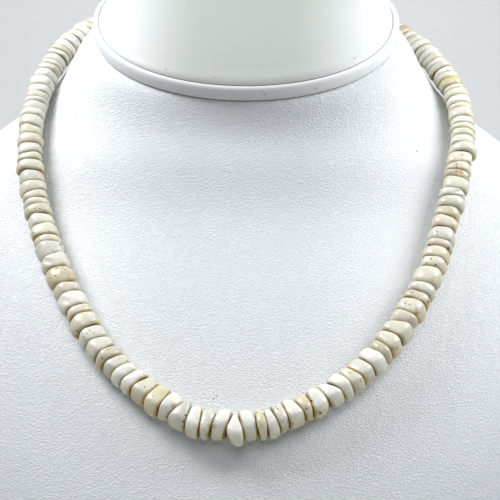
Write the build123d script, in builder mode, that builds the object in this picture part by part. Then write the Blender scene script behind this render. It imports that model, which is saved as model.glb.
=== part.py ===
from build123d import *
import math
import os

os.makedirs("parts", exist_ok=True)

# Puka shell necklace on a neck bust, in millimetres. The origin is the middle of the
# bust's underside, +Z is up and the chest faces -Y.

# Bust: a chest and shoulders that narrow to a neck, whose cut top leans forward
shoulder_width = 196.0
base_depth = 136.0
neck_rise = 152.0
neck_setback = 40.0
neck_lean = 30.0
neck_width = 92.4
neck_depth = 70.8

# Neck plate: an oval panel inside a raised welt
plate_thickness = 4.4
welt_width = 2.6
welt_overhang = 0.6
welt_edge = 1.2
cap_crown = 0.5
cap_edge = 1.5

# Base board, let into the foot of the bust
board_thickness = 3.0
board_inset = 3.0

# Shell beads, drilled discs strung face to face
shell_radius = 3.95
shell_thickness = 3.35
shell_gap = 0.15
drill_diameter = 1.4
unevenness = 0.035
gap_lean = 8.0
front_lean = 11.0

# Thread and its barrel clasp
thread_diameter = 0.7
clasp_length = 11.0
clasp_diameter = 5.2
clasp_bore = 1.3
clasp_edge = 1.0
front_shift = 0.6

# Pieces that touch on the real thing stand this far apart
seam = 0.2

# Chest and shoulders from the foot up: rise and lean are shares of the neck's, setback
# of neck_setback, half width of shoulder_width and half depth of base_depth
body_sections = [
    # rise, setback, half width, half depth, lean
    (0.092, 0.030, 0.457, 0.500, 0.00),
    (0.191, 0.112, 0.474, 0.493, 0.00),
    (0.365, 0.337, 0.495, 0.434, 0.00),
    (0.553, 0.625, 0.500, 0.338, 0.00),
    (0.697, 0.838, 0.469, 0.268, 0.13),
    (0.796, 0.900, 0.393, 0.243, 0.30),
]
foot_section = (0.000, 0.000, 0.439, 0.500, 0.00)

# Neck: half width is a share of neck_width and half depth of neck_depth
neck_sections = [
    # rise, setback, half width, half depth, lean
    (0.868, 0.925, 0.669, 0.445, 0.57),
    (0.934, 0.950, 0.582, 0.459, 0.80),
    (1.000, 1.000, 0.500, 0.500, 1.00),
]

# Shell beads by kind: thickness is a share of shell_thickness. The reach is from the
# drilled hole to the rim, down the chest, back towards the neck and up off the chest,
# as shares of shell_radius
shell_kinds = {
    # kind: thickness, reach down, reach back, reach up
    "sliver": (0.55, 0.96, 0.95, 0.91),
    "thin": (0.73, 0.98, 0.95, 0.92),
    "slim": (0.88, 1.00, 0.97, 0.93),
    "plain": (1.00, 1.01, 0.97, 0.94),
    "stout": (1.13, 1.03, 0.97, 0.94),
    "thick": (1.28, 1.05, 0.98, 0.94),
    "chunk": (1.42, 1.06, 0.98, 0.94),
    "boulder": (1.73, 1.08, 0.99, 0.94),
    "tooth": (0.84, 1.42, 0.95, 0.92),
}

# A worn rim from one face to the other: share of the thickness and of the full reach
rim_profile = [(0.00, 0.84), (0.14, 0.96), (0.50, 1.00), (0.86, 0.96), (1.00, 0.84)]

# The stringing order, from the middle of the front to the clasp, along each side. The
# gap after a bead leans by gap_lean for each + or - after its kind, and with + its end
# outside the loop is the one further along the string.
left_chart = """
tooth++ stout+ plain- plain- plain++ stout thick thick+ plain+ plain+ plain+ plain thick+
thick chunk slim chunk plain+ boulder+ thick- chunk+ thin+ thick stout+ plain thin thin-
plain stout+ plain thin- plain plain plain+ stout thin plain- sliver slim slim stout plain
thin sliver slim sliver sliver slim plain slim plain thin slim sliver stout thin plain
slim thin chunk slim thin plain sliver thin stout plain thin slim plain thin stout slim
thin plain sliver thin
""".split()
right_chart = """
stout thin thin+ slim stout+ slim- thick stout++ plain plain+ thick thick slim- thick
thick++ plain chunk slim plain+ boulder plain stout thin chunk stout- plain stout+ thin
stout- thin slim+ stout slim slim thin- thin slim stout thin plain slim thin plain thin
thin thin sliver thin thin thin slim slim thin plain slim stout thin slim sliver plain
thin stout slim thin chunk sliver slim plain thin thin stout slim thin plain slim thin
sliver plain thin slim
""".split()

# The line of the drilled holes: from inside the clasp at the back of the neck, down the
# left side, across the chest and up the right side to the clasp again
string_route = [
    (-3.5, 72.8, 159.7),
    (-13.3, 72.0, 159.8),
    (-22.6, 70.2, 159.4),
    (-32.3, 66.8, 158.3),
    (-41.6, 61.8, 156.3),
    (-49.9, 54.5, 153.0),
    (-56.2, 45.1, 147.5),
    (-60.3, 36.3, 139.9),
    (-62.0, 26.9, 132.6),
    (-62.2, 17.4, 125.2),
    (-61.3, 8.8, 116.1),
    (-58.6, 1.3, 105.9),
    (-54.5, -7.3, 97.2),
    (-49.4, -16.5, 88.8),
    (-43.4, -25.0, 80.5),
    (-37.1, -32.8, 73.1),
    (-29.0, -39.7, 66.5),
    (-19.8, -45.2, 61.5),
    (-9.8, -49.1, 57.5),
    (1.1, -50.4, 56.4),
    (11.6, -48.5, 58.2),
    (21.8, -44.5, 62.0),
    (31.4, -38.8, 67.0),
    (39.1, -32.1, 73.4),
    (45.9, -24.2, 81.0),
    (51.7, -15.5, 89.0),
    (55.4, -7.3, 96.9),
    (58.2, 0.1, 104.5),
    (61.4, 7.3, 113.7),
    (63.9, 16.5, 123.4),
    (64.5, 26.9, 131.1),
    (62.5, 36.3, 137.4),
    (58.0, 44.5, 144.5),
    (51.6, 53.3, 150.3),
    (43.0, 60.8, 155.1),
    (33.2, 66.4, 157.8),
    (23.1, 70.1, 159.4),
    (13.3, 72.0, 159.8),
    (3.5, 72.8, 159.7),
]
# Direction square to the loop, up and off the chest
loop_normal = Vector(0, -0.66, 0.75)


def leaning_plane(rise, setback, lean):
    """A plane across the bust at a height, with its front edge dipped by lean degrees."""
    angle = math.radians(lean)
    return Plane(
        origin=(0, setback, rise),
        x_dir=(1, 0, 0),
        z_dir=(0, -math.sin(angle), math.cos(angle)),
    )


def bust_plane(section):
    """The plane of one section of the bust."""
    return leaning_plane(
        section[0] * neck_rise, section[1] * neck_setback, section[4] * neck_lean
    )


def route_radii(points):
    """The radius of the arc at each inner point, as large as its two runs allow."""
    radii = []
    for before, here, after in zip(points, points[1:], points[2:]):
        run_in = Vector(*here) - Vector(*before)
        run_out = Vector(*after) - Vector(*here)
        half_turn = math.radians(run_in.get_angle(run_out)) / 2
        radii.append(0.45 * min(run_in.length, run_out.length) / math.tan(half_turn))
    return radii


def string_frame(place, way, lean):
    """The plane of a gap between two beads, its x axis pointing out of the loop."""
    direction = string_line.tangent_at(place, PositionMode.LENGTH) * way
    outward = direction.cross(loop_normal).normalized() * way
    angle = math.radians(lean)
    return Plane(
        origin=string_line.position_at(place, PositionMode.LENGTH),
        x_dir=outward * math.cos(angle) + direction * math.sin(angle),
        z_dir=direction * math.cos(angle) - outward * math.sin(angle),
    )


def rim_outline(kind, share):
    """An egg-shaped rim, drawn from the drilled hole as its centre."""
    down, back, up = (shell_radius * share * reach for reach in kind[1:])
    middle = (down - back) / 2
    with Locations((middle, 0)):
        Ellipse((down + back) / 2, up)


def plane_between(near, far, share):
    """The plane a share of the way from one plane to the other."""
    return Plane(
        origin=near.origin * (1 - share) + far.origin * share,
        x_dir=near.x_dir * (1 - share) + far.x_dir * share,
        z_dir=near.z_dir * (1 - share) + far.z_dir * share,
    )


def shell_bead(near, far, kind, swell):
    """A drilled disc between two gap planes, its worn rim rounded into both faces."""
    face_in, face_out = near.offset(shell_gap / 2), far.offset(-shell_gap / 2)
    with BuildPart() as bead:
        for share, fullness in rim_profile:
            with BuildSketch(plane_between(face_in, face_out, share)):
                rim_outline(kind, fullness * swell)
        loft()
        with Locations(Plane(origin=near.origin, z_dir=far.origin - near.origin)):
            Cylinder(drill_diameter / 2, 6 * shell_thickness, mode=Mode.SUBTRACT)
    return bead.part.solids()


def strung_beads(chart, start, room, way):
    """The beads of one side of the string, laid end to end from start."""
    beads = []
    place = start
    near = string_frame(place, way, way * front_lean)
    for number, word in enumerate(chart):
        kind = shell_kinds[word.rstrip("+-")]
        place += way * shell_thickness * kind[0]
        if abs(place - start) > room:
            break
        lean = gap_lean * (word.count("+") - word.count("-"))
        far = string_frame(place, way, lean)
        swell = 1 + unevenness * math.sin(2.4 * number)
        beads += shell_bead(near, far, kind, swell)
        near = far
    return beads


# Bust form
with BuildPart() as bust_form:
    with BuildSketch(Plane.XY.offset(board_thickness + seam)):
        Ellipse(foot_section[2] * shoulder_width, foot_section[3] * base_depth)
    for section in body_sections:
        with BuildSketch(bust_plane(section)):
            Ellipse(section[2] * shoulder_width, section[3] * base_depth)
    for section in neck_sections:
        with BuildSketch(bust_plane(section)):
            Ellipse(section[2] * neck_width, section[3] * neck_depth)
    loft()

# Base board
with BuildPart() as base_board:
    with BuildSketch(Plane.XY):
        Ellipse(
            foot_section[2] * shoulder_width - board_inset,
            foot_section[3] * base_depth - board_inset,
        )
    extrude(amount=board_thickness)
    chamfer(base_board.edges().group_by(Axis.Z)[0], board_thickness / 6)

# Neck plate
plate_plane = leaning_plane(neck_rise, neck_setback, neck_lean).offset(seam)
welt_x = neck_width / 2 + welt_overhang
welt_y = neck_depth / 2 + welt_overhang
with BuildPart() as neck_welt:
    with BuildSketch(plate_plane):
        Ellipse(welt_x, welt_y)
        Ellipse(welt_x - welt_width, welt_y - welt_width, mode=Mode.SUBTRACT)
    extrude(amount=plate_thickness)
    fillet(neck_welt.edges(), welt_edge)

with BuildPart() as neck_cap:
    with BuildSketch(plate_plane):
        Ellipse(welt_x - welt_width - seam, welt_y - welt_width - seam)
    extrude(amount=plate_thickness + cap_crown)
    cap_top = neck_cap.faces().sort_by(Axis(plate_plane.origin, plate_plane.z_dir))[-1]
    fillet(cap_top.edges(), cap_edge)

# Thread
with BuildPart() as thread:
    with BuildLine() as thread_line:
        FilletPolyline(*string_route, radius=route_radii(string_route))
    with BuildSketch(Plane(origin=thread_line.line @ 0, z_dir=thread_line.line % 0)):
        Circle(thread_diameter / 2)
    sweep()
string_line = thread_line.wire()

# Barrel clasp at the back of the neck, with the thread's two ends inside it
clasp_middle = (Vector(*string_route[0]) + Vector(*string_route[-1])) / 2
with BuildPart() as clasp:
    with BuildSketch(Plane(origin=clasp_middle, z_dir=(1, 0, 0))):
        Circle(clasp_diameter / 2)
        Circle(clasp_bore / 2, mode=Mode.SUBTRACT)
    extrude(amount=clasp_length / 2, both=True)
    fillet(clasp.edges().filter_by(GeomType.CIRCLE).group_by(SortBy.RADIUS)[-1], clasp_edge)

# Shell beads, in two halves that meet at the middle of the front
front = string_line.length / 2 + front_shift
clasp_reach = clasp_length / 2 - clasp_middle.X + string_route[0][0] + seam
with BuildPart() as shell_beads_left:
    add(strung_beads(left_chart, front, front - clasp_reach, -1))
with BuildPart() as shell_beads_right:
    add(strung_beads(right_chart, front, string_line.length - front - clasp_reach, 1))

bust_form.part.label = "bust_form"
base_board.part.label = "base_board"
neck_welt.part.label = "neck_welt"
neck_cap.part.label = "neck_cap"
thread.part.label = "thread"
clasp.part.label = "clasp"
shell_beads_left.part.label = "shell_beads_left"
shell_beads_right.part.label = "shell_beads_right"

for piece in (bust_form, base_board, neck_welt, neck_cap, thread, clasp):
    export_step(piece.part, f"parts/{piece.part.label}.step")
for piece in (shell_beads_left, shell_beads_right):
    export_step(piece.part, f"parts/{piece.part.label}.step")

print("string", round(string_line.length, 1), "mm long")
print("beads", len(shell_beads_left.solids()), "and", len(shell_beads_right.solids()))
print("route radii", [round(radius) for radius in route_radii(string_route)])
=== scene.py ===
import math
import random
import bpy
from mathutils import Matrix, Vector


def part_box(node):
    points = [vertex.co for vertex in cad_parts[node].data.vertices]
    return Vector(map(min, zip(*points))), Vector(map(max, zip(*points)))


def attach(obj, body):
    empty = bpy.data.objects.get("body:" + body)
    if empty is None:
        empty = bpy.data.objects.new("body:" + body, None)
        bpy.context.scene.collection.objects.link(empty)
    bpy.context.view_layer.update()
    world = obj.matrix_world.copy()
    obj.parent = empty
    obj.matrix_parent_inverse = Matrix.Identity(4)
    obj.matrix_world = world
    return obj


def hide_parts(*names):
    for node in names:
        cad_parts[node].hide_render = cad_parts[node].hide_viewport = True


bl_info = {
    "name": "Puka Shell Necklace on a Neck Bust",
    "version": (1, 0, 0),
    "blender": (4, 5, 0),
    "location": "View3D > Sidebar > Necklace",
    "description": "Dresses a strand of puka shells and the leatherette bust that wears it",
    "category": "Object",
}

import bmesh
import bpy
from bpy.props import FloatProperty, FloatVectorProperty, PointerProperty
from mathutils import Matrix, Vector, noise

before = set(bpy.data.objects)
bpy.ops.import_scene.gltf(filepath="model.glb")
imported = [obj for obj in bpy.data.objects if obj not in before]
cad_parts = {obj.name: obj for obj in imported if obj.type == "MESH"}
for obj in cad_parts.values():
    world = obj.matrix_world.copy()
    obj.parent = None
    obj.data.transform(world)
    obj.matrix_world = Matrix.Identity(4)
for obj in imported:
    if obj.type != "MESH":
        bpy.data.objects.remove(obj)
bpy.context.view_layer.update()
MM = 0.001

# The plane of the neck plate
PLATE_MIDDLE = Vector((0, 0.040, 0.152))
PLATE_LEAN = math.radians(30)
PLATE_NORMAL = Vector((0, -math.sin(PLATE_LEAN), math.cos(PLATE_LEAN)))

# Heights over that plane: where the welt and the cap start, how far the cap's wall is
# raised, and below which the welt and the cap are darkened by a line of painted shade
# where they meet their neighbours
WELT_LIFT = 0.03 * MM
CAP_LIFT = 0.9 * MM
CAP_WALL = 2.2 * MM
WELT_SEAM_SHADE = 0.35 * MM
CAP_SEAM_SHADE = 4.28 * MM

# How far the cap reaches into the welt, and the height of its rounded edge as a share of
# that edge's width
CAP_TUCK = 0.35 * MM
CAP_EDGE_RISE = 0.8

# The pieces that the cap's rounded edge is made in, and the width of one ring of its
# crown as a share of the cap
CAP_EDGE_STEPS = 6
CAP_RING = 0.1

# How the pebbles of the grain are turned and stretched
GRAIN_TURN = (0.0, math.radians(-32), 0.0)
GRAIN_STRETCH = (2.1, 1.2, 1.0)

# The leatherette's painted shade, greyer towards the middle of the neck: from where to
# where it fades out, away from the bust's middle plane, and fades in, upwards
SHADE_ASIDE = (0.012, 0.052)
SHADE_UP = (0.045, 0.115)

# From where to where the painted shade along a seam fades out, away from the bust's middle
# plane, and how softly that shade and a speck end
SEAM_SHADE_ASIDE = (0.02, 0.05)
SEAM_SHADE_BLUR = (-0.00012, 0.00012)
SPECK_BLUR = (0.00012, 0.00042)

# Depth of every finish's relief, but for the thread's and the metal's
RELIEF = 0.2 * MM

# The noises of the shell's finish, per metre: its clouds, its fine mottling and the grid
# that its freckles stand in
CLOUDS, MOTTLING, FRECKLES = 260.0, 1100.0, 1500.0

# The drilled hole of a unit disc, as a share of its radius, and of a worn shell
HOLE = 0.18
DRILL = 0.7 * MM

# The three unit discs: the least thickness of the shells that each one is for, its name,
# its depth and the width of its worn corner
UNIT_DISCS = (
    (0.0, "sliver_disc", 0.5, 0.09),
    (0.0026, "plain_disc", 0.85, 0.11),
    (0.004, "thick_disc", 1.2, 0.13),
)

# How far both sides of a shell are brought out towards its neighbours
CLOSER = 0.03 * MM

# Directions round a shell from its outer side towards its upper one: its lower end, and
# the middles of its foot outside and inside, where the finish lays painted shade and most
# of its amber stain
LOWER_END = math.radians(-20)
FOOT_OUTSIDE = -0.35
FOOT_INSIDE = 3.6

# How softly a worn flat runs into the round rim, and the fineness of the rim's lumps
FLAT_BLEND = 0.4 * MM
LUMP_SCALE = 0.55

# A dent's depth as a share of the reach, its width in radians and its lean over the rim
DENT_DEPTH, DENT_WIDTH, DENT_LEAN = 0.16, 0.25, 0.3

# How far from the middle of a CAD disc's flat end the rim of its hole still is, and how
# far off that end's plane a corner of it can be
RIM_REACH = 1.8 * MM
LEVEL_OFF = 0.004 * MM

# The even disc that the noise of the lumps is taken on, in millimetres
EVEN_RADIUS, EVEN_WIDTH = 4, 3

# Where the edge of a shell starts, between its middle at 0 and its side at 1; the finish
# lays painted shade and an amber stain on that edge
EDGE_START = 0.6

# Direction square to the loop of shells, up and off the chest
LOOP_NORMAL = Vector((0, -0.66, 0.75)).normalized()

# Shell colours by name, as a worn shell shows them in daylight
TONES = {
    "white": (0.97, 0.97, 0.96),
    "pearl": (0.81, 0.805, 0.76),
    "bone": (0.71, 0.715, 0.67),
    "cream": (0.8, 0.785, 0.68),
    "ivory": (0.79, 0.75, 0.55),
    "yellow": (0.68, 0.60, 0.34),
    "tan": (0.62, 0.565, 0.39),
    "sand": (0.68, 0.64, 0.52),
    "rose": (0.79, 0.72, 0.63),
}

# Colours of what wear and dirt leave on a shell and on the leatherette, and of the painted
# shade on a shell's foot and sides, in the gaps between shells and along the seams of the
# welt and the cap
STAINS_AND_PAINTED_SHADES = {
    "worn": (0.8, 0.79, 0.745),
    "layer": (0.66, 0.6, 0.46),
    # painted shade on a shell's foot and sides
    "foot": (0.72, 0.68, 0.5),
    "amber": (0.5, 0.36, 0.1),
    "brown": (0.41, 0.3, 0.08),
    # painted shade in the gaps between shells
    "gap": (0.16, 0.11, 0.05),
    "freckle": (0.2, 0.17, 0.1),
    "hole": (0.03, 0.018, 0.008),
    # painted shade along the seams of the welt and the cap
    "seam": (0.1, 0.095, 0.09),
    "speck": (0.16, 0.15, 0.13),
}

# Shells from the middle of the front outwards, in stringing order: a tone, then words
# for its form and its wear, its size against an even shell and, after a plus sign, how
# far it hangs out in millimetres. Past the charts, the shells repeat HIDDEN_LOOKS.
LEFT_LOOKS = """
white tooth edged 1.02 +0.4; white edged 1.03; pearl waisted edged 1.08 +0.9;
white square edged 1.02 +0.9; bone domed 1.03 +0.5; white wedge foot 1.0;
ivory creased foot 1.02 +0.3; cream foot edged creased; white edged; white domed;
pearl edged creased specked; sand edged specked chipped 1.04; pearl specked creased 1.05;
pearl specked creased; cream specked foot domed; cream foot; white dented; rose;
tan freckled domed 1.05; pearl dented lumpy; bone specked wedge; cream specked;
cream specked foot; pearl creased; sand specked; pearl foot; cream; cream; bone;
cream foot proud; cream; pearl; rose; cream domed; pearl; white; pearl; white; cream;
white; white; white; cream; white; white; white; cream; white; white; white
"""
RIGHT_LOOKS = """
white square edged; ivory specked narrow 1.04 +0.4; white specked 1.05 +0.8;
pearl foot freckled; white edged creased; ivory foot specked; white foot domed edged 0.97;
white peaked creased; white wedge 1.03; cream freckled foot; pearl creased foot edged;
white; sand specked; cream foot domed; cream creased; rose wedge; cream specked foot;
sand specked foot; pearl domed 1.04; cream domed; cream freckled; cream foot; rose narrow;
bone domed 1.04; rose creased; sand; bone domed 1.08 +0.2; pearl dented; cream wedge 1.06 +0.5;
sand freckled foot; rose specked; cream creased; cream 1.05 +0.5; pearl; cream; cream; pearl;
cream; cream; white; cream; pearl; yellow; cream; white; cream; white; cream; white;
cream; white; cream
"""
HIDDEN_LOOKS = "cream; white; ivory; cream specked; rose; white; cream foot; pearl; tan specked"

# Marks that single shells carry: half, shell, degrees round it from its outer side
# towards its upper one, share across it from its front side, kind
MARKS = """
left 1 15 0.06 pit; left 1 -2 0.06 pit; left 1 -16 0.94 hole; left 1 66 0.9 dot;
left 1 50 0.85 amber; left 1 74 0.8 dot; left 1 117 0.94 dot; left 2 60 0.05 amber;
left 2 20 0.05 amber; left 4 69 0.08 pit; left 4 41 0.08 pit; left 4 15 0.08 brown;
left 5 10 0.06 pit; left 5 75 0.1 amber; left 6 72 0.6 dot; left 7 81 0.36 dot;
left 7 -15 0.5 brown; left 8 22 0.9 hole; left 8 132 0.2 brown; left 10 -15 0.4 pit;
left 10 136 0.15 dot; left 11 95 0.6 dot; left 11 111 0.7 dot; left 11 54 0.25 dot;
left 12 14 0.6 pit; left 12 6 0.28 brown; left 12 12 0.06 brown; left 12 64 0.7 dot;
left 13 45 0.35 dot; left 13 36 0.2 dot; left 13 65 0.45 dot; left 13 82 0.55 dot;
left 13 92 0.3 dot; left 14 32 0.08 pit; left 18 114 0.6 dot; left 18 93 0.45 brown;
left 18 63 0.4 dot; left 18 39 0.4 dot; left 18 80 0.8 dot; left 18 154 0.1 dot;
left 20 146 0.6 pit; left 21 154 0.8 dot; left 21 56 0.6 dot; left 22 42 0.3 dot;
left 24 101 0.2 dot; left 24 80 0.3 dot; left 31 39 0.15 dot; left 34 47 0.08 dot;
left 35 128 0.1 dot; left 40 140 0.3 dot; right 1 122 0.2 dot; right 3 120 0.3 dot;
right 3 112 0.12 dot; right 3 105 0.4 dot; right 3 36 0.9 amber; right 3 5 0.15 brown;
right 4 20 0.08 amber; right 5 69 0.35 brown; right 5 58 0.3 dot; right 6 82 0.05 hole;
right 6 19 0.3 hole; right 6 24 0.2 amber; right 9 50 0.7 brown; right 9 39 0.65 dot;
right 9 101 0.5 dot; right 10 28 0.12 amber; right 11 101 0.9 brown;
right 12 150 0.5 dot; right 13 40 0.1 amber; right 13 30 0.3 amber; right 14 34 0.08 dot;
right 14 125 0.08 dot; right 16 119 0.4 dot; right 16 98 0.4 dot; right 16 63 0.3 dot;
right 16 50 0.12 amber; right 17 120 0.5 brown; right 17 30 0.4 hole; right 17 24 0.4 amber;
right 20 105 0.5 pit; right 20 125 0.1 dot; right 20 75 0.1 pit; right 22 150 0.08 pit;
right 22 40 0.08 hole; right 23 137 0.3 dot; right 23 120 0.4 dot; right 24 50 0.8 amber;
right 29 105 0.7 brown; right 29 96 0.5 amber; right 29 74 0.6 amber;
right 29 35 0.5 dot; right 29 125 0.3 dot; right 30 105 0.45 pit; right 30 102 0.1 dot;
right 31 83 0.5 dot
"""

# Each kind's colour and its size in millimetres, then how many marks of each colour a
# shell has room for, and how far off a mark is that a shell hasn't got, in its own size
MARK_KINDS = {
    "hole": ("dark", 0.42),
    "pit": ("dark", 0.31),
    "dot": ("dark", 0.22),
    "amber": ("warm", 1.1),
    "brown": ("warm", 0.5),
}
MARK_ROOM = {"dark": 5, "warm": 3}
NO_MARK = 9.0

# Where the leatherette's dark specks are, in millimetres
BUST_SPECKS = (
    (-49.69, 20.95, 128.77),
    (50.18, 13.31, 119.68),
    (-4.97, -40.64, 61.58),
    (-5.84, -41.15, 60.93),
    (11.56, -41.4, 60.21),
)
WELT_SPECKS = ((6.1, 6.94, 135.94), (20.64, 10.22, 137.57), (39.5, 23.11, 147.36))
CAP_SPECKS = (
    (31.86, 18.47, 145.88),
    (39.09, 26.12, 149.99),
    (-22.22, 12.61, 142.46),
    (-8.2, 8.82, 140.32),
)

# How far the sides of a shell are drawn in, as shares of its width: the near and the far
# side at its lower end, then at its upper end
DRAWN_IN = {
    "tooth": (0.04, 0.38, 0.22, 0.1),
    "narrow": (0.14, 0.14, 0.08, 0.08),
    "waisted": (0.1, 0.05, 0.0, 0.0),
    "chipped": (0.05, 0.3, 0.0, 0.1),
    "peaked": (0.2, 0.0, 0.0, 0.15),
}

# What these words of the charts add, each to one measure of a shell's wear
WORD_ADDS = {
    "domed": ("crown", 0.05),
    "square": ("crown", -0.05),
    "wedge": ("cone", 0.08),
    "lumpy": ("lump", 0.05),
    "proud": ("size", 0.05),
    "edged": ("stain", 0.55),
    "foot": ("stain", 0.5),
    "specked": ("specks", 0.4),
    "freckled": ("specks", 0.6),
}

# The floor's width, the height of the sweep behind the bust and the reach of its bend
FLOOR_SIZE, SWEEP_HEIGHT, SWEEP_BEND = 3, 2.0, 0.6
FLOOR_COLOURS = ((0.72, 0.74, 0.75), (0.65, 0.66, 0.67))

# Colours of the room's light and of what the camera sees behind everything
ROOM_COLOUR = (0.97, 0.985, 1.0, 1.0)
SEEN_COLOUR = (0.74, 0.76, 0.77, 1.0)

# Each light's size, place and aim
LIGHTS = {
    "left": (0.14, (-0.2, -0.02, 0.34), (0, 0, 0.09)),
    "right": (0.14, (0.2, -0.02, 0.24), (0, 0, 0.09)),
    "front": (0.15, (0, -0.22, 0.25), (0, 0, 0.07)),
    "backdrop": (1.2, (0, 0.45, 0.8), (0, 1.7, 0.0)),
}

# The camera that fits the photo: its place, its angle and shift, and how far it is turned
# to the left, dipped and rolled
CAMERA_PLACE = (0.00757, -0.3614, 0.1562)
CAMERA_ANGLE, CAMERA_SHIFT = math.radians(21.8), 0.018
CAMERA_TURN, CAMERA_DIP, CAMERA_ROLL = (math.radians(x) for x in (1.2, 10, 0.5))


class Value:
    """A number socket that Python expressions turn into Math nodes."""

    def __init__(self, finish, socket):
        self.finish = finish
        self.socket = socket

    def math(self, operation, first, second=0.0):
        return self.finish.add(
            "ShaderNodeMath", {"operation": operation}, {0: first, 1: second}
        )

    def __add__(self, other):
        return self.math("ADD", self, other)

    __radd__ = __add__

    def __sub__(self, other):
        return self.math("SUBTRACT", self, other)

    def __rsub__(self, other):
        return self.math("SUBTRACT", other, self)

    def __mul__(self, other):
        return self.math("MULTIPLY", self, other)

    __rmul__ = __mul__

    def over(self, low, high):
        """0 below low, 1 above high and a smooth step between."""
        return self.finish.add(
            "ShaderNodeMapRange",
            {"interpolation_type": "SMOOTHSTEP"},
            {"Value": self, "From Min": low, "From Max": high},
        )


class Finish:
    """A node material while it is put together."""

    def __init__(self, name):
        self.material = bpy.data.materials.new(name)
        self.material.use_nodes = True
        self.tree = self.material.node_tree
        self.tree.nodes.clear()
        self.place = self.add("ShaderNodeTexCoord", out="Object")

    def add(self, kind, settings=None, inputs=None, out=0):
        """Adds a node with its settings and its inputs, and returns one of its outputs."""
        node = self.tree.nodes.new(kind)
        for name, setting in (settings or {}).items():
            setattr(node, name, setting)
        for name, value in (inputs or {}).items():
            socket = self.find(node.inputs, name)
            if isinstance(value, Value):
                self.tree.links.new(value.socket, socket)
            else:
                socket.default_value = value
        return Value(self, self.find(node.outputs, out)) if node.outputs else node

    @staticmethod
    def find(sockets, name):
        if isinstance(name, int):
            return sockets[name]
        return next(s for s in sockets if name in (s.identifier, s.name) and s.enabled)

    def noise(self, scale, detail=3.0, where=None, roughness=0.5):
        return self.add(
            "ShaderNodeTexNoise",
            None,
            {
                "Vector": where or self.place,
                "Scale": scale,
                "Detail": detail,
                "Roughness": roughness,
            },
        )

    def blend(self, amount, colour_a, colour_b, how="MIX"):
        """Mixes two colours by an amount."""
        colour_a, colour_b = (
            c if isinstance(c, Value) else (*c, 1.0) for c in (colour_a, colour_b)
        )
        return self.add(
            "ShaderNodeMix",
            {"data_type": "RGBA", "blend_type": how, "clamp_factor": True},
            {"Factor_Float": amount, "A_Color": colour_a, "B_Color": colour_b},
            "Result_Color",
        )

    def attribute(self, name, out="Fac"):
        return self.add("ShaderNodeAttribute", {"attribute_name": name}, None, out)

    def nearest(self, name):
        """The distance to the nearest mark of a colour, in shares of the mark's size."""
        least = None
        for number in range(MARK_ROOM[name]):
            away = {0: self.attribute(f"{name}_{number}", "Vector")}
            away = self.add("ShaderNodeVectorMath", {"operation": "LENGTH"}, away, "Value")
            least = least.math("MINIMUM", least, away) if least else away
        return least

    def bump(self, height, strength, distance):
        inputs = {"Height": height, "Strength": strength, "Distance": distance}
        return self.add("ShaderNodeBump", None, inputs)

    def surface(self, **sockets):
        """Ends the material in one shader whose sockets take these values."""
        inputs = {name.replace("_", " "): value for name, value in sockets.items()}
        shader = self.add("ShaderNodeBsdfPrincipled", None, inputs)
        self.add("ShaderNodeOutputMaterial", None, {"Surface": shader})
        return self.material


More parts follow.
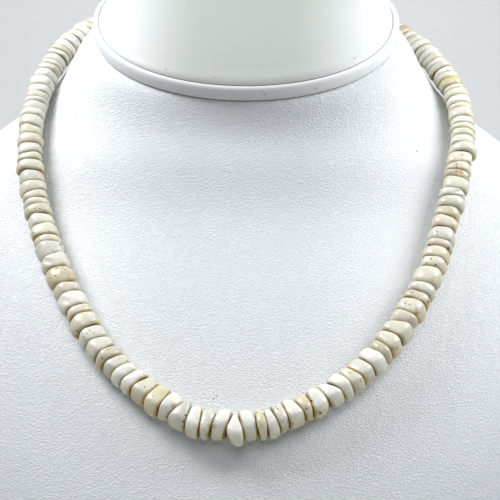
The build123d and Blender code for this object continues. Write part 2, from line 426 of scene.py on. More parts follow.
def pebbled_leatherette(name, settings, specks, painted_middle_shade, seam=None):
    """White leatherette with dark specks, and painted shade that makes it greyer towards the
    middle of the neck.

    A piece with a seam gets a line of painted shade below that height over the neck plate's
    plane, and its leatherette is stretched smooth. One without has the relief of a fine pebbled
    grain.
    """
    finish = Finish(name)
    colour, grain = settings.colour, settings.grain
    slanted = finish.add(
        "ShaderNodeMapping",
        {"vector_type": "TEXTURE"},
        {"Vector": finish.place, "Rotation": GRAIN_TURN, "Scale": GRAIN_STRETCH},
    )
    tangle = finish.add(
        "ShaderNodeTexNoise", None, {"Vector": slanted, "Scale": 0.6 / grain}, "Color"
    )
    warped = finish.add(
        "ShaderNodeVectorMath",
        {"operation": "MULTIPLY_ADD"},
        {0: tangle, 1: [0.9 * grain] * 3, 2: slanted},
    )
    cells = finish.add(
        "ShaderNodeTexVoronoi",
        {"feature": "DISTANCE_TO_EDGE"},
        {"Vector": warped, "Scale": 1.0 / grain},
    )
    creases = finish.noise(1.6 / grain, 3.0, warped, 0.6)
    furrows = (1.0 - cells.over(0.0, 0.2)) * 0.3
    furrowed = finish.blend(furrows, colour, [0.9 * c for c in colour])
    clouds = finish.noise(60.0, 5.0).over(0.55, 0.85) * 0.25
    clouded = finish.blend(clouds, furrowed, [0.95 * c for c in colour])
    # Painted shade: the colour greys by the given tone towards the bust's middle plane, and
    # only above a height
    aside = finish.add("ShaderNodeSeparateXYZ", None, {"Vector": finish.place})
    aside = aside.math("ABSOLUTE", aside)
    up = finish.add("ShaderNodeSeparateXYZ", None, {"Vector": finish.place}, "Z")
    middle = (1.0 - aside.over(*SHADE_ASIDE)) * up.over(*SHADE_UP)
    painted_shade_and_specks = finish.blend(middle, clouded, [a * b for a, b in zip(colour, painted_middle_shade)])
    sockets = {}
    # Painted shade: a dark line below the seam's height over the plate's plane, fading out away
    # from the middle plane
    if seam:
        height = finish.add(
            "ShaderNodeVectorMath",
            {"operation": "DOT_PRODUCT"},
            {0: finish.place, 1: PLATE_NORMAL},
            "Value",
        )
        level = PLATE_MIDDLE.dot(PLATE_NORMAL) + seam
        below = 1.0 - (height - level).over(*SEAM_SHADE_BLUR)
        shown = below * (1.0 - aside.over(*SEAM_SHADE_ASIDE)) * 0.85
        painted_shade_and_specks = finish.blend(shown, painted_shade_and_specks, STAINS_AND_PAINTED_SHADES["seam"])
    else:
        waves = finish.noise(28.0, 2.0)
        pebbles = cells.over(0.0, 0.35) * 0.6 + creases * 0.8 + waves * 0.5
        sockets["Normal"] = finish.bump(pebbles, 1.0, RELIEF)
    for speck in specks:
        away = finish.add(
            "ShaderNodeVectorMath",
            {"operation": "DISTANCE"},
            {0: finish.place, 1: [c * MM for c in speck]},
            "Value",
        )
        painted_shade_and_specks = finish.blend((1.0 - away.over(*SPECK_BLUR)) * 0.7, painted_shade_and_specks, STAINS_AND_PAINTED_SHADES["speck"])
    return finish.surface(
        Base_Color=painted_shade_and_specks, Roughness=creases * 0.12 + 0.44, Specular_IOR_Level=0.4, **sockets
    )


def shell_finish():
    """Sea-worn shell: polished, creamy, with amber stains, dark pits and specks, and painted
    shade on its foot, on its sides and in the gaps between shells.
    """
    finish = Finish("shell")
    tone = finish.attribute("tone", "Color")
    edge = finish.attribute("edge")
    foot = finish.attribute("foot")
    stain = finish.attribute("stain")
    specks = finish.attribute("specks")
    cloud = finish.noise(CLOUDS, 3.0)
    mottle = finish.noise(MOTTLING, 4.0, None, 0.65)
    worn = finish.blend(cloud.over(0.35, 0.7) * 0.4, tone, STAINS_AND_PAINTED_SHADES["worn"])
    layers = mottle.over(0.42, 0.75) * 0.3
    layered = finish.blend(layers, worn, STAINS_AND_PAINTED_SHADES["layer"], "MULTIPLY")
    # Painted shade: darker and more olive on the foot and towards the sides
    shaded = finish.blend(foot * 0.6 + edge * 0.4, layered, STAINS_AND_PAINTED_SHADES["foot"], "MULTIPLY")
    seam = edge.over(0.07, 0.42) * (foot * 1.2 + 0.55)
    amber_place = (foot * 0.45 + seam) * (cloud * 1.7 + 0.1)
    amber = finish.blend(amber_place * stain, shaded, STAINS_AND_PAINTED_SHADES["amber"])
    warm = 1.0 - (finish.nearest("warm") + mottle * 0.8 - 0.4).over(0.15, 1.0)
    blotted = finish.blend(warm * 0.8, amber, STAINS_AND_PAINTED_SHADES["brown"])
    # Painted shade: a dark line where a shell's side meets the gap to its neighbour
    gap = finish.blend(edge.over(0.5, 0.9) * 0.85, blotted, STAINS_AND_PAINTED_SHADES["gap"])
    grid = {"Vector": finish.place, "Scale": FRECKLES}
    cells = finish.add("ShaderNodeTexVoronoi", {"feature": "F1"}, grid)
    chance = finish.add("ShaderNodeTexVoronoi", {"feature": "F1"}, grid, "Color")
    lottery = finish.add("ShaderNodeSeparateColor", None, {"Color": chance})
    picked = (lottery + specks * 0.6).over(0.97, 1.12)
    spot = (1.0 - (cells + mottle * 0.2).over(0.22, 0.42)) * picked
    spotted = finish.blend(spot * 0.7, gap, STAINS_AND_PAINTED_SHADES["freckle"])
    hole = 1.0 - (finish.nearest("dark") + mottle * 1.2 - 0.6).over(0.6, 1.1)
    pitted = finish.blend(hole * 0.95, spotted, STAINS_AND_PAINTED_SHADES["hole"])
    height = cloud * 0.5 + mottle * 0.12 - spot * 0.35 - hole * 0.9
    return finish.surface(
        Base_Color=pitted,
        Roughness=mottle * 0.16 + 0.28 + edge * 0.3,
        Specular_IOR_Level=0.5,
        Coat_Weight=0.4,
        Coat_Roughness=0.24,
        Subsurface_Weight=0.15,
        Subsurface_Radius=(0.7, 0.65, 0.5),
        Subsurface_Scale=0.001,
        Normal=finish.bump(height, 0.5, RELIEF),
    )


def painted_board():
    """Off-white paint on fibreboard, a little fuzzy along its grain."""
    finish = Finish("board")
    grain = finish.noise(380.0, 5.0, None, 0.7)
    colour = finish.blend(grain.over(0.4, 0.75) * 0.4, (0.78, 0.77, 0.74), (0.66, 0.62, 0.55))
    return finish.surface(
        Base_Color=colour,
        Roughness=grain * 0.2 + 0.6,
        Normal=finish.bump(grain, 0.4, RELIEF),
    )


def waxed_thread():
    """Twisted waxed thread in a natural colour."""
    finish = Finish("thread")
    fibre = finish.noise(2600.0, 3.0, None, 0.7)
    colour = finish.blend(fibre.over(0.35, 0.7), (0.72, 0.64, 0.46), (0.84, 0.78, 0.62))
    return finish.surface(
        Base_Color=colour, Roughness=0.65, Normal=finish.bump(fibre, 0.6, 0.0001)
    )


def plated_metal():
    """Satin silver-coloured plating with fine turned scratches."""
    finish = Finish("clasp")
    rubbed = finish.noise(900.0, 4.0, None, 0.6)
    colour = finish.blend(rubbed.over(0.3, 0.8), (0.62, 0.6, 0.56), (0.76, 0.75, 0.72))
    return finish.surface(
        Base_Color=colour,
        Metallic=1.0,
        Roughness=rubbed * 0.2 + 0.2,
        Normal=finish.bump(rubbed, 0.2, 0.00005),
    )


def cover(piece, material):
    """Gives a piece one material in the place of all that it has."""
    piece.data.materials.clear()
    piece.data.materials.append(material)


def dress(node, material):
    """Gives a CAD node its finish."""
    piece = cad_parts[node]
    cover(piece, material)


class CadShell:
    """One drilled disc of the CAD strand: its two end planes and how it faces."""

    def __init__(self, corners, faces, middle):
        flat = [self.end_face(corners, faces, None)]
        flat.append(self.end_face(corners, faces, flat[0][1]))
        flat.sort(key=lambda end: abs(self.turn(end[0], middle)))
        (self.near, normal_in), (self.far, normal_out) = flat
        along = (self.far - self.near).normalized()
        away = along.cross(LOOP_NORMAL).normalized()
        if away.dot(self.near - middle) < 0:
            away.negate()
        up = (LOOP_NORMAL - along * LOOP_NORMAL.dot(along)).normalized()
        self.frames = []
        for centre, normal in ((self.near, normal_in), (self.far, normal_out)):
            flat_away = (away - normal * away.dot(normal)).normalized()
            flat_up = up - normal * up.dot(normal) - flat_away * up.dot(flat_away)
            self.frames.append((centre, flat_away, flat_up.normalized()))
        self.place = abs(self.turn((self.near + self.far) / 2, middle))
        offsets = [corner - self.near for corner in corners]
        self.down = max(offset.dot(away) for offset in offsets)
        self.back = -min(offset.dot(away) for offset in offsets)
        self.up = max(offset.dot(up) for offset in offsets)
        self.thickness = (self.far - self.near).length

    @staticmethod
    def turn(point, middle):
        """The angle round the loop from the middle of the front."""
        offset = point - middle
        front = Vector((1, 0, 0)).cross(LOOP_NORMAL)
        return math.atan2(offset.x, offset.dot(front))

    @staticmethod
    def end_face(corners, faces, opposite):
        """The drilled hole's centre and the outward normal of one flat end."""
        flats = {}
        for a, b, c in faces:
            cross = (corners[b] - corners[a]).cross(corners[c] - corners[a])
            if opposite is None or cross.dot(opposite) < -0.8 * cross.length:
                normal = cross.normalized()
                key = tuple(round(x, 2) for x in normal)
                flats.setdefault(key, [0.0, normal, corners[a]])[0] += cross.length
        _, normal, corner = max(flats.values(), key=lambda flat: flat[0])
        level = [p for p in corners if abs((p - corner).dot(normal)) < LEVEL_OFF]
        middle = sum(level, Vector()) / len(level)
        rim = [p for p in level if (p - middle).length < RIM_REACH]
        return sum(rim, Vector()) / len(rim), normal

    def seat(self, away, up, across):
        """A point by its reach out of the loop and off the chest, and across the disc."""
        (near, away_0, up_0), (far, away_1, up_1) = self.frames
        middle = near.lerp(far, across)
        return middle + away_0.lerp(away_1, across) * away + up_0.lerp(up_1, across) * up


def cad_shells(node):
    """The loose discs of a strand node, from the middle of the front outwards."""
    mesh = bmesh.new()
    mesh.from_mesh(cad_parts[node].data)
    bmesh.ops.remove_doubles(mesh, verts=mesh.verts, dist=0.001 * MM)
    low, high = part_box("thread")
    middle = (low + high) / 2
    shells = []
    seen = set()
    for start in mesh.verts:
        if start in seen:
            continue
        seen.add(start)
        group, queue = [], [start]
        while queue:
            vert = queue.pop()
            group.append(vert)
            for joined in vert.link_edges:
                other = joined.other_vert(vert)
                if other not in seen:
                    seen.add(other)
                    queue.append(other)
        number = {vert: i for i, vert in enumerate(group)}
        faces = dict.fromkeys(face for vert in group for face in vert.link_faces)
        corners = [vert.co.copy() for vert in group]
        triangles = [[number[v] for v in face.verts] for face in faces if len(face.verts) == 3]
        shells.append(CadShell(corners, triangles, middle))
    mesh.free()
    return sorted(shells, key=lambda shell: shell.place)


def pick(mesh, kind, test):
    """Selects only the elements of the mesh in edit mode that pass a test."""
    bpy.ops.mesh.select_all(action="DESELECT")
    edit = bmesh.from_edit_mesh(mesh)
    bpy.ops.mesh.select_mode(type=kind)
    elements = {"EDGE": edit.edges, "FACE": edit.faces}[kind]
    for element in elements:
        if test(element):
            element.select = True
    edit.select_flush_mode()
    bmesh.update_edit_mesh(mesh)


def unit_shell(name, depth, shoulder):
    """A drilled disc of radius 1 with worn corners, brought to a thickness of 1."""
    sides, rings = 40, 3
    bpy.ops.object.select_all(action="DESELECT")
    bpy.ops.mesh.primitive_cylinder_add(vertices=sides, radius=1, depth=depth)
    shell = bpy.context.object
    shell.name = name
    bpy.ops.object.mode_set(mode="EDIT")
    pick(shell.data, "EDGE", lambda e: abs(e.verts[0].co.z - e.verts[1].co.z) > depth / 2)
    bpy.ops.mesh.subdivide(number_cuts=5)
    pick(
        shell.data,
        "EDGE",
        lambda e: all(abs(abs(v.co.z) - depth / 2) < 0.001 for v in e.verts),
    )
    bpy.ops.mesh.bevel(offset=shoulder, segments=3, profile=0.5, affect="EDGES")
    pick(shell.data, "FACE", lambda f: len(f.verts) == sides)
    for _ in range(rings):
        bpy.ops.mesh.inset(thickness=(1 - shoulder - HOLE) / rings)
    bpy.ops.mesh.bridge_edge_loops()
    bpy.ops.mesh.select_all(action="SELECT")
    bpy.ops.transform.resize(value=(1, 1, 1 / depth))
    bpy.ops.mesh.normals_make_consistent(inside=False)
    bpy.ops.object.mode_set(mode="OBJECT")
    bpy.ops.object.transform_apply(location=False, rotation=True, scale=True)
    return shell


def egg_reach(shell, turn):
    """The rim's distance from the drilled hole of an ellipse that reaches down and back."""
    half = (shell.down + shell.back) / 2
    middle = (shell.down - shell.back) / 2
    a = (math.cos(turn) / half) ** 2 + (math.sin(turn) / shell.up) ** 2
    b = -2 * math.cos(turn) * middle / half**2
    c = (middle / half) ** 2 - 1
    return (-b + math.sqrt(b * b - 4 * a * c)) / (2 * a)


class Wear:
    """How one shell departs from an even disc, drawn from its words and a seed."""

    def __init__(self, words, seed):
        draw = random.Random(seed)
        self.seed = seed
        self.flats = [(draw.uniform(0, 2 * math.pi), draw.uniform(0.93, 0.99))]
        ridge = math.radians(draw.uniform(40, 66))
        depth = 0.88 if {"creased", "peaked"} & set(words) else draw.uniform(0.93, 0.99)
        self.flats.append((ridge + 0.8, depth))
        self.flats.append((ridge - 0.75, depth + 0.02))
        self.crown = draw.uniform(0.12, 0.19)
        self.cone = draw.uniform(-0.05, 0.05)
        self.lump = draw.uniform(0.02, 0.05)
        self.size = draw.uniform(0.99, 1.03)
        self.dent = draw.uniform(0.9, 1.3) if "dented" in words else None
        self.drawn_in = next(
            (DRAWN_IN[word] for word in words if word in DRAWN_IN),
            [draw.uniform(0.0, 0.07) for _ in range(4)],
        )
        self.stain = 0.1 + draw.uniform(0, 0.25)
        self.specks = 0.04
        self.shift = 0.0
        for word, (measure, more) in WORD_ADDS.items():
            if word in words:
                setattr(self, measure, getattr(self, measure) + more)
        for word in words:
            if word[0].isdigit():
                self.size *= float(word)
            elif word[0] == "+":
                self.shift = float(word) * MM

    def reach(self, shell, turn, across, point):
        """The rim's distance from the hole at a turn round it and a share across it."""
        reach = egg_reach(shell, turn) * self.size
        for facing, depth in self.flats:
            cosine = math.cos(turn - facing)
            if cosine > 0.2:
                flat = egg_reach(shell, facing) * self.size * depth / cosine
                gap = (flat - reach) / FLAT_BLEND
                reach -= FLAT_BLEND * math.log1p(math.exp(-gap)) if gap > -20 else reach - flat
        side = 2 * across - 1
        reach *= 1 - self.crown * abs(side) ** 2.4 + self.cone * side
        reach *= 1 + self.lump * noise.noise(point * LUMP_SCALE + Vector((self.seed, 0, 0)))
        if self.dent is not None:
            off = (turn - self.dent + side * DENT_LEAN) / DENT_WIDTH
            reach *= 1 - DENT_DEPTH * math.exp(-off * off - side * side * 2)
        return reach

    def draw_in(self, turn, across, share):
        """The share across the disc once its sides are drawn in at both its ends."""
        low = share * math.cos(turn - LOWER_END)
        near_low, far_low, near_top, far_top = self.drawn_in
        if low > 0:
            near, far = near_low * low**1.6, far_low * low**1.6
        else:
            near, far = near_top * (-low) ** 1.6, far_top * (-low) ** 1.6
        return near + across * (1 - near - far)


def worn_shell(unit, shell, wear, tone, marks):
    """A copy of the unit disc, shaped to one place of the strand and marked for its finish."""
    copy = unit.data.copy()
    closer = CLOSER / shell.thickness

    def place(turn, across, share):
        """The point at a turn round the disc, a share across it and a share out to its rim."""
        around = math.cos(turn) * EVEN_RADIUS, math.sin(turn) * EVEN_RADIUS
        point = Vector((*around, across * EVEN_WIDTH))
        radius = DRILL + share * (wear.reach(shell, turn, across, point) - DRILL)
        away = radius * math.cos(turn) + wear.shift * max(0.0, share)
        side = 2 * across - 1
        across = wear.draw_in(turn, across, share) + side * closer
        return shell.seat(away, radius * math.sin(turn), across)

    edge, foot = [], []
    for vert in copy.vertices:
        share = (Vector((vert.co.x, vert.co.y)).length - HOLE) / (1 - HOLE)
        turn = math.atan2(vert.co.y, vert.co.x)
        across = vert.co.z + 0.5
        vert.co = place(turn, across, share)
        # The edge towards the neighbouring shells, on which the finish lays painted shade and
        # an amber stain
        deep = (abs(2 * across - 1) - EDGE_START) / (1 - EDGE_START)
        deep = min(1.0, max(0.0, deep))
        edge.append(deep * deep * (3 - 2 * deep) * min(1.0, 1.6 - share))
        # The foot: round the lower end outside and, weaker, the inner side towards the neck, on
        # which the finish lays painted shade and most of its amber stain
        inner = 0.8 * max(0.0, math.cos(turn - FOOT_INSIDE)) ** 2
        foot.append(max(0.0, math.cos(turn - FOOT_OUTSIDE)) ** 2 + inner)
    for name, values in (("edge", edge), ("foot", foot)):
        copy.attributes.new(name, "FLOAT", "POINT").data.foreach_set("value", values)
    count = len(edge)
    spots = {"dark": [], "warm": []}
    for degrees, across, kind in marks:
        colour, size = MARK_KINDS[kind]
        spots[colour].append((place(math.radians(degrees), across, 1.0), size * MM))
    for colour, room in MARK_ROOM.items():
        for number in range(room):
            away = [NO_MARK] * 3 * count
            if number < len(spots[colour]):
                spot, size = spots[colour][number]
                away = [x / size for vert in copy.vertices for x in vert.co - spot]
            mark = copy.attributes.new(f"{colour}_{number}", "FLOAT_VECTOR", "POINT")
            mark.data.foreach_set("vector", away)
    for name, value in (("stain", wear.stain), ("specks", wear.specks)):
        copy.attributes.new(name, "FLOAT", "POINT").data.foreach_set("value", [value] * count)
    colours = copy.attributes.new("tone", "FLOAT_COLOR", "POINT").data
    colours.foreach_set("color", [*tone, 1.0] * count)
    return copy


class StrandSettings(bpy.types.PropertyGroup):
    """Colour of the shells."""

    tint: FloatVectorProperty(
        name="Tint",
        description="Colour that every shell's own tone is multiplied by",
        subtype="COLOR",
        size=3,
        min=0.0,
        max=1.0,
        default=(0.88, 0.872, 0.83),
    )


class BustSettings(bpy.types.PropertyGroup):
    """Sizes and colours of the bust."""

    colour: FloatVectorProperty(
        name="Leatherette",
        description="Colour of the white leatherette",
        subtype="COLOR",
        size=3,
        min=0.0,
        max=1.0,
        default=(0.785, 0.82, 0.86),
    )
    # Painted shade: the leatherette on the front of the neck is greyed towards its middle
    neck_shade: FloatVectorProperty(
        name="Neck Shade",
        description="Tone that the leatherette on the front of the neck is multiplied by",
        subtype="COLOR",
        size=3,
        min=0.0,
        max=1.0,
        default=(0.79, 0.795, 0.8),
    )
    # Painted shade: the middle of the cap's leatherette is greyed
    cap_shade: FloatVectorProperty(
        name="Cap Shade",
        description="Tone that the middle of the cap's leatherette is multiplied by",
        subtype="COLOR",
        size=3,
        min=0.0,
        max=1.0,
        default=(0.5, 0.51, 0.46),
    )
    # Painted shade: the middle of the welt's leatherette is greyed
    welt_shade: FloatVectorProperty(
        name="Welt Shade",
        description="Tone that the middle of the welt's leatherette is multiplied by",
        subtype="COLOR",
        size=3,
        min=0.0,
        max=1.0,
        default=(0.76, 0.755, 0.72),
    )
    plate_width: FloatProperty(
        name="Plate Width",
        description="Width of the neck plate over its welt",
        unit="LENGTH",
        default=0.0936,
    )
    plate_depth: FloatProperty(
        name="Plate Depth",
        description="Depth of the neck plate over its welt",
        unit="LENGTH",
        default=0.074,
    )
    plate_set_back: FloatProperty(
        name="Plate Set Back",
        description="How far behind its middle the neck plate is widest",
        unit="LENGTH",
        default=0.005,
        min=0.0,
        max=0.015,
    )
    welt_width: FloatProperty(
        name="Welt Width",
        description="Width of the welt round the neck plate",
        unit="LENGTH",
        default=0.0022,
    )
    welt_height: FloatProperty(
        name="Welt Height",
        description="Height of the welt round the neck plate",
        unit="LENGTH",
        default=0.0045,
    )
    cap_edge: FloatProperty(
        name="Cap Edge",
        description="Width of the rounded edge of the padded cap",
        unit="LENGTH",
        default=0.0035,
    )
    cap_crown: FloatProperty(
        name="Cap Crown",
        description="Rise of the padded cap from its edge to its middle",
        unit="LENGTH",
        default=0.005,
    )
    grain: FloatProperty(
        name="Grain",
        description="Width of one pebble of the leatherette's grain",
        unit="LENGTH",
        default=0.00058,
        min=0.0003,
        max=0.004,
    )


class StageSettings(bpy.types.PropertyGroup):
    """Powers of the stage's lights and the strength of the room's light."""

    left_power: FloatProperty(
        name="Left Light",
        description="Power of the soft light beside and above the bust on the left",
        unit="POWER",
        default=1.06,
        min=0.0,
    )
    right_power: FloatProperty(
        name="Right Light",
        description="Power of the soft light beside and above the bust on the right",
        unit="POWER",
        default=0.56,
        min=0.0,
    )
    front_power: FloatProperty(
        name="Front Light",
        description="Power of the soft light in front of and above the bust",
        unit="POWER",
        default=0.145,
        min=0.0,
    )
    backdrop_power: FloatProperty(
        name="Backdrop Light",
        description="Power of the light on the sweep behind the bust",
        unit="POWER",
        default=17.0,
        min=0.0,
    )
    sky: FloatProperty(
        name="Room Light",
        description="Strength of the even light of the room",
        default=0.095,
        min=0.0,
    )


class NECKLACE_OT_shells(bpy.types.Operator):
    """Model the worn shells of both halves of the strand"""

    bl_idname = "necklace.shells"
    bl_label = "Shell Strand"

    def execute(self, context):
        finish = shell_finish()
        tint = context.scene.necklace_strand.tint
        units = {least: unit_shell(*shape) for least, *shape in UNIT_DISCS}
        hidden = [row.split() for row in HIDDEN_LOOKS.split(";")]
        spots = [row.split() for row in MARKS.split(";")]
        halves = (("shell_beads_left", LEFT_LOOKS), ("shell_beads_right", RIGHT_LOOKS))
        for half, (node, chart) in enumerate(halves):
            looks = [row.split() for row in chart.replace("\n", " ").split(";")]
            made = []
            for number, shell in enumerate(cad_shells(node)):
                words = looks[number] if number < len(looks) else hidden[number % len(hidden)]
                unit = units[max(size for size in units if size <= shell.thickness)]
                wear = Wear(words, 100 * half + number)
                tone = [a * b for a, b in zip(TONES[words[0]], tint)]
                marks = [
                    (float(mark[2]), float(mark[3]), mark[4])
                    for mark in spots
                    if mark[0] == ("left", "right")[half] and int(mark[1]) == number
                ]
                worn = worn_shell(unit, shell, wear, tone, marks)
                piece = bpy.data.objects.new("shell", worn)
                context.collection.objects.link(piece)
                made.append(piece)
            bpy.ops.object.select_all(action="DESELECT")
            for piece in made:
                piece.select_set(True)
            context.view_layer.objects.active = made[0]
            bpy.ops.object.join()
            strand = context.object
            strand.name = node.replace("shell_beads", "worn_shells")
            bpy.ops.object.shade_smooth_by_angle(angle=math.radians(50))
            cover(strand, finish)
            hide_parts(node)
            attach(strand, "root")
        for unit in units.values():
            bpy.data.objects.remove(unit)
        return {"FINISHED"}


class NECKLACE_OT_bust(bpy.types.Operator):
    """Cover the bust with leatherette and paint its board"""

    bl_idname = "necklace.bust"
    bl_label = "Neck Bust"

    def execute(self, context):
        settings = context.scene.necklace_bust
        leatherette = pebbled_leatherette(
            "leatherette", settings, BUST_SPECKS, settings.neck_shade
        )
        dress("bust_form", leatherette)
        dress("base_board", painted_board())
        return {"FINISHED"}


def plate_curve(half_x, half_y, resolution, back=0.0):
    """A closed curve like an ellipse, with its widest places set back."""
    bpy.ops.object.select_all(action="DESELECT")
    bpy.ops.curve.primitive_bezier_circle_add(radius=1)
    curve = bpy.context.object
    curve.data.resolution_u = resolution
    bpy.ops.object.mode_set(mode="EDIT")
    bpy.ops.curve.select_all(action="SELECT")
    bpy.ops.transform.resize(value=(half_x, half_y, 1))
    bpy.ops.object.mode_set(mode="OBJECT")
    for point in curve.data.splines[0].bezier_points:
        point.handle_left_type = point.handle_right_type = "FREE"
        beside = abs(point.co.y) < half_y / 2
        place = point.co + Vector((0, back if beside else 0, 0))
        for side in ("handle_left", "handle_right"):
            reach = getattr(point, side) - point.co
            if beside:
                behind = point.co.y + reach.y > 0
                reach *= (half_y - back if behind else half_y + back) / half_y
            setattr(point, side, place + reach)
        point.co = place
    return curve


def extrude_up(height):
    """Extrudes the selection of the mesh in edit mode upwards."""
    bpy.ops.mesh.extrude_region_move(TRANSFORM_OT_translate={"value": (0, 0, height)})


def finish_plate_piece(piece, lift, material, node):
    """Leans a flat piece into the neck plate's plane and puts it in its node's place."""
    piece.rotation_euler = (PLATE_LEAN, 0, 0)
    piece.location = PLATE_MIDDLE + PLATE_NORMAL * lift
    bpy.ops.object.transform_apply(location=True, rotation=True, scale=True)
    bpy.ops.object.shade_smooth_by_angle(angle=math.radians(60))
    cover(piece, material)
    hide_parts(node)
    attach(piece, "root")


class NECKLACE_OT_plate(bpy.types.Operator):
    """Model the piped welt and the padded cap on the neck"""

    bl_idname = "necklace.plate"
    bl_label = "Neck Plate"

    def execute(self, context):
        settings = context.scene.necklace_bust
        width, height = settings.welt_width / 2, settings.welt_height / 2
        outer_x, outer_y = settings.plate_width / 2, settings.plate_depth / 2
        section = plate_curve(width, height, 8)
        back = settings.plate_set_back
        welt = plate_curve(outer_x - width, outer_y - width, 40, back)
        welt.name = "piped_welt"
        welt.data.bevel_mode = "OBJECT"
        welt.data.bevel_object = section
        bpy.ops.object.convert(target="MESH")
        bpy.data.objects.remove(section)
        leatherette = pebbled_leatherette(
            "welt_leatherette", settings, WELT_SPECKS, settings.welt_shade, WELT_SEAM_SHADE
        )
        lift = height + WELT_LIFT
        finish_plate_piece(welt, lift, leatherette, "neck_welt")

        # The cap: a wall, a rounded edge and a crown that rises towards its middle
        inner_x, inner_y = (half - 2 * width + CAP_TUCK for half in (outer_x, outer_y))
        cap = plate_curve(inner_x, inner_y, 36, back)
        cap.name = "padded_cap"
        bpy.ops.object.convert(target="MESH")
        bpy.ops.object.mode_set(mode="EDIT")
        bpy.ops.mesh.select_all(action="SELECT")
        bpy.ops.mesh.edge_face_add()
        bpy.ops.mesh.normals_make_consistent(inside=False)
        extrude_up(CAP_WALL)
        edge = settings.cap_edge
        for step in range(CAP_EDGE_STEPS):
            low, high = (math.radians(90 / CAP_EDGE_STEPS * (step + i)) for i in range(2))
            bpy.ops.mesh.inset(
                thickness=edge * (math.cos(low) - math.cos(high)),
                depth=edge * CAP_EDGE_RISE * (math.sin(high) - math.sin(low)),
            )
        for step in range(round(1 / CAP_RING) - 1):
            low, high = (1 - (1 - CAP_RING * (step + i)) ** 2 for i in range(2))
            extrude_up(settings.cap_crown * (high - low))
            shrink = (1 - CAP_RING - CAP_RING * step) / (1 - CAP_RING * step)
            bpy.ops.transform.resize(value=(shrink, shrink, 1))
        bpy.ops.mesh.poke()
        bpy.ops.mesh.select_all(action="SELECT")
        bpy.ops.mesh.normals_make_consistent(inside=False)
        bpy.ops.object.mode_set(mode="OBJECT")
        padded = pebbled_leatherette(
            "cap_leatherette", settings, CAP_SPECKS, settings.cap_shade, CAP_SEAM_SHADE
        )
        finish_plate_piece(cap, CAP_LIFT, padded, "neck_cap")
        return {"FINISHED"}


class NECKLACE_OT_findings(bpy.types.Operator):
    """Finish the thread and the barrel clasp"""

    bl_idname = "necklace.findings"
    bl_label = "Thread and Clasp"

    def execute(self, context):
        dress("thread", waxed_thread())
        dress("clasp", plated_metal())
        return {"FINISHED"}


def soft_light(name, power, size, spot, aim):
    """A square area light at a spot, turned towards a point."""
    data = bpy.data.lights.new(name, "AREA")
    data.energy = power
    data.size = size
    lamp = bpy.data.objects.new(name, data)
    lamp.location = spot
    lamp.rotation_euler = (Vector(aim) - Vector(spot)).to_track_quat("-Z", "Y").to_euler()
    lamp.visible_camera = False
    bpy.context.collection.objects.link(lamp)


def paper_sweep():
    """A pale floor that bends up behind the bust."""
    bpy.ops.object.select_all(action="DESELECT")
    bpy.ops.mesh.primitive_plane_add(size=FLOOR_SIZE, location=(0, 0.2, 0))
    floor = bpy.context.object
    floor.name = "pale_floor"
    back_edge = 0.45 * FLOOR_SIZE
    bpy.ops.object.mode_set(mode="EDIT")
    pick(floor.data, "EDGE", lambda e: all(v.co.y > back_edge for v in e.verts))
    extrude_up(SWEEP_HEIGHT)
    pick(
        floor.data,
        "EDGE",
        lambda e: all(v.co.y > back_edge and v.co.z < 0.1 for v in e.verts),
    )
    bpy.ops.mesh.bevel(offset=SWEEP_BEND, segments=12, affect="EDGES")
    bpy.ops.object.mode_set(mode="OBJECT")
    bpy.ops.object.transform_apply()
    bpy.ops.object.shade_smooth()
    finish = Finish("pale_floor")
    fleck = finish.noise(40.0, 4.0).over(0.3, 0.8) * 0.1
    colour = finish.blend(fleck, *FLOOR_COLOURS)
    cover(floor, finish.surface(Base_Color=colour, Roughness=0.8))
    return floor


def soft_room(strength):
    """A world that gives an even light and looks paler to the camera."""
    world = bpy.data.worlds.new("soft_room")
    world.use_nodes = True
    room = world.node_tree.nodes["Background"]
    room.inputs["Color"].default_value = ROOM_COLOUR
    room.inputs["Strength"].default_value = strength
    seen = world.node_tree.nodes.new("ShaderNodeBackground")
    seen.inputs["Color"].default_value = SEEN_COLOUR
    path = world.node_tree.nodes.new("ShaderNodeLightPath")
    either = world.node_tree.nodes.new("ShaderNodeMixShader")
    link = world.node_tree.links.new
    link(path.outputs["Is Camera Ray"], either.inputs[0])
    link(room.outputs[0], either.inputs[1])
    link(seen.outputs[0], either.inputs[2])
    link(either.outputs[0], world.node_tree.nodes["World Output"].inputs["Surface"])
    return world


def photo_camera():
    """The camera that fits the photo."""
    data = bpy.data.cameras.new("camera")
    camera = bpy.data.objects.new("camera", data)
    bpy.context.collection.objects.link(camera)
    data.sensor_width = 36
    data.angle = CAMERA_ANGLE
    data.shift_x = CAMERA_SHIFT
    data.clip_start = 0.01
    data.clip_end = 20
    look = Vector((-math.sin(CAMERA_TURN), math.cos(CAMERA_TURN), 0)) * math.cos(CAMERA_DIP)
    look.z = -math.sin(CAMERA_DIP)
    right = look.cross(Vector((0, 0, 1))).normalized()
    up = right.cross(look)
    leaning = right * math.cos(CAMERA_ROLL) + up * math.sin(CAMERA_ROLL)
    axes = Matrix((leaning, leaning.cross(look), -look)).transposed()
    camera.matrix_world = Matrix.Translation(CAMERA_PLACE) @ axes.to_4x4()
    return camera


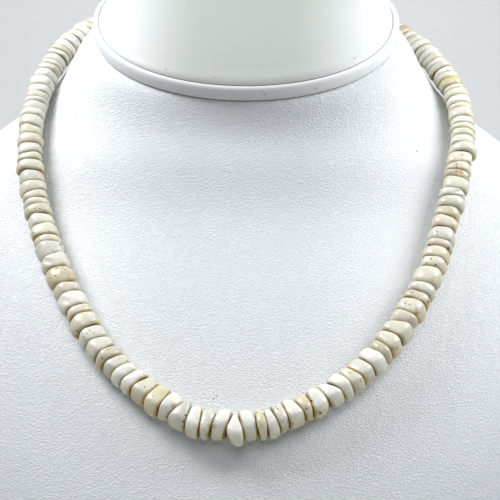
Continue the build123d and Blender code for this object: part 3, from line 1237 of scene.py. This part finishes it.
class NECKLACE_OT_stage(bpy.types.Operator):
    """Set the pale floor, the soft lights and the camera"""

    bl_idname = "necklace.stage"
    bl_label = "Stage"

    def execute(self, context):
        settings = context.scene.necklace_stage
        floor = paper_sweep()
        context.scene.world = soft_room(settings.sky)
        soft_light("left", settings.left_power, *LIGHTS["left"])
        soft_light("right", settings.right_power, *LIGHTS["right"])
        soft_light("front", settings.front_power, *LIGHTS["front"])
        soft_light("backdrop", settings.backdrop_power, *LIGHTS["backdrop"])
        context.scene.camera = photo_camera()
        context.scene.view_settings.view_transform = "Standard"
        return {"FINISHED"}


class NECKLACE_PT_panel(bpy.types.Panel):
    """Buttons and settings in the 3D view's sidebar"""

    bl_label = "Puka Shell Necklace"
    bl_space_type = "VIEW_3D"
    bl_region_type = "UI"
    bl_category = "Necklace"

    def draw(self, context):
        for group in ("necklace_strand", "necklace_bust", "necklace_stage"):
            settings = getattr(context.scene, group)
            for name in settings.__annotations__:
                self.layout.prop(settings, name)
        for operator in OPERATORS:
            self.layout.operator(operator.bl_idname)


OPERATORS = (
    NECKLACE_OT_bust,
    NECKLACE_OT_plate,
    NECKLACE_OT_findings,
    NECKLACE_OT_shells,
    NECKLACE_OT_stage,
)
GROUPS = {
    "necklace_strand": StrandSettings,
    "necklace_bust": BustSettings,
    "necklace_stage": StageSettings,
}


def register():
    for group in GROUPS.values():
        bpy.utils.register_class(group)
    for operator in OPERATORS:
        bpy.utils.register_class(operator)
    bpy.utils.register_class(NECKLACE_PT_panel)
    for name, group in GROUPS.items():
        setattr(bpy.types.Scene, name, PointerProperty(type=group))


def unregister():
    for name in GROUPS:
        delattr(bpy.types.Scene, name)
    bpy.utils.unregister_class(NECKLACE_PT_panel)
    for operator in reversed(OPERATORS):
        bpy.utils.unregister_class(operator)
    for group in GROUPS.values():
        bpy.utils.unregister_class(group)


def main():
    register()
    bpy.ops.necklace.bust()
    bpy.ops.necklace.plate()
    bpy.ops.necklace.findings()
    bpy.ops.necklace.shells()
    bpy.ops.necklace.stage()


if __name__ == "__main__":
    main()
